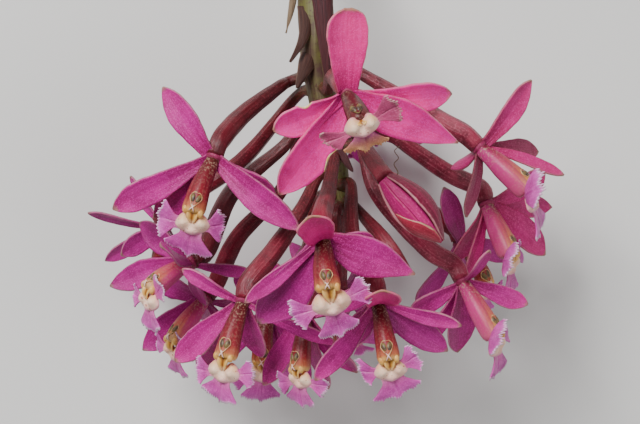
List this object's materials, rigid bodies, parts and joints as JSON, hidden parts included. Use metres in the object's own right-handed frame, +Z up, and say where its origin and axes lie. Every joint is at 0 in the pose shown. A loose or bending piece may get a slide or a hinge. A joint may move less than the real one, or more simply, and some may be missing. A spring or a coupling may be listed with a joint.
{
  "type": "epidendrum orchid",
  "caption": "Cut pendent flower head of a reed-stem epidendrum orchid: a short stalk with sheaths, long pedicels, narrow-tepalled blooms with fringed lips and a half-open bud.",
  "frame": {"origin": "middle of the bounding box's base, on the surface the head lies on", "axes": "+Z up off the surface, towards the viewer of the picture; +Y along the head from its lowest lips towards the cut end of the stalk; +X to the right as seen from above"},
  "size_m": [0.0968, 0.1344, 0.0744],
  "materials": {
    "stem": "smooth",
    "pedicel": "smooth",
    "tepals": "satin",
    "lip": "satin",
    "bud": "satin"
  },
  "bodies": {
    "root": {"bud": "bud", "lip_01": "lip", "lip_02": "lip", "lip_03": "lip", "lip_04": "lip", "lip_05": "lip", "lip_06": "lip", "lip_07": "lip", "lip_08": "lip", "lip_09": "lip", "lip_10": "lip", "lip_11": "lip", "lip_12": "lip", "lip_13": "lip", "lip_14": "lip", "lip_15": "lip", "lip_16": "lip", "pedicel_01": "pedicel", "pedicel_02": "pedicel", "pedicel_03": "pedicel", "pedicel_04": "pedicel", "pedicel_05": "pedicel", "pedicel_06": "pedicel", "pedicel_07": "pedicel", "pedicel_08": "pedicel", "pedicel_09": "pedicel", "pedicel_10": "pedicel", "pedicel_11": "pedicel", "pedicel_12": "pedicel", "pedicel_13": "pedicel", "pedicel_14": "pedicel", "pedicel_15": "pedicel", "pedicel_16": "pedicel", "pedicel_spent": "pedicel", "stem": "stem", "tepals_01": "tepals", "tepals_02": "tepals", "tepals_03": "tepals", "tepals_04": "tepals", "tepals_05": "tepals", "tepals_06": "tepals", "tepals_07": "tepals", "tepals_08": "tepals", "tepals_09": "tepals", "tepals_10": "tepals", "tepals_11": "tepals", "tepals_12": "tepals", "tepals_13": "tepals", "tepals_14": "tepals", "tepals_15": "tepals", "tepals_16": "tepals"}
  },
  "joints": []
}
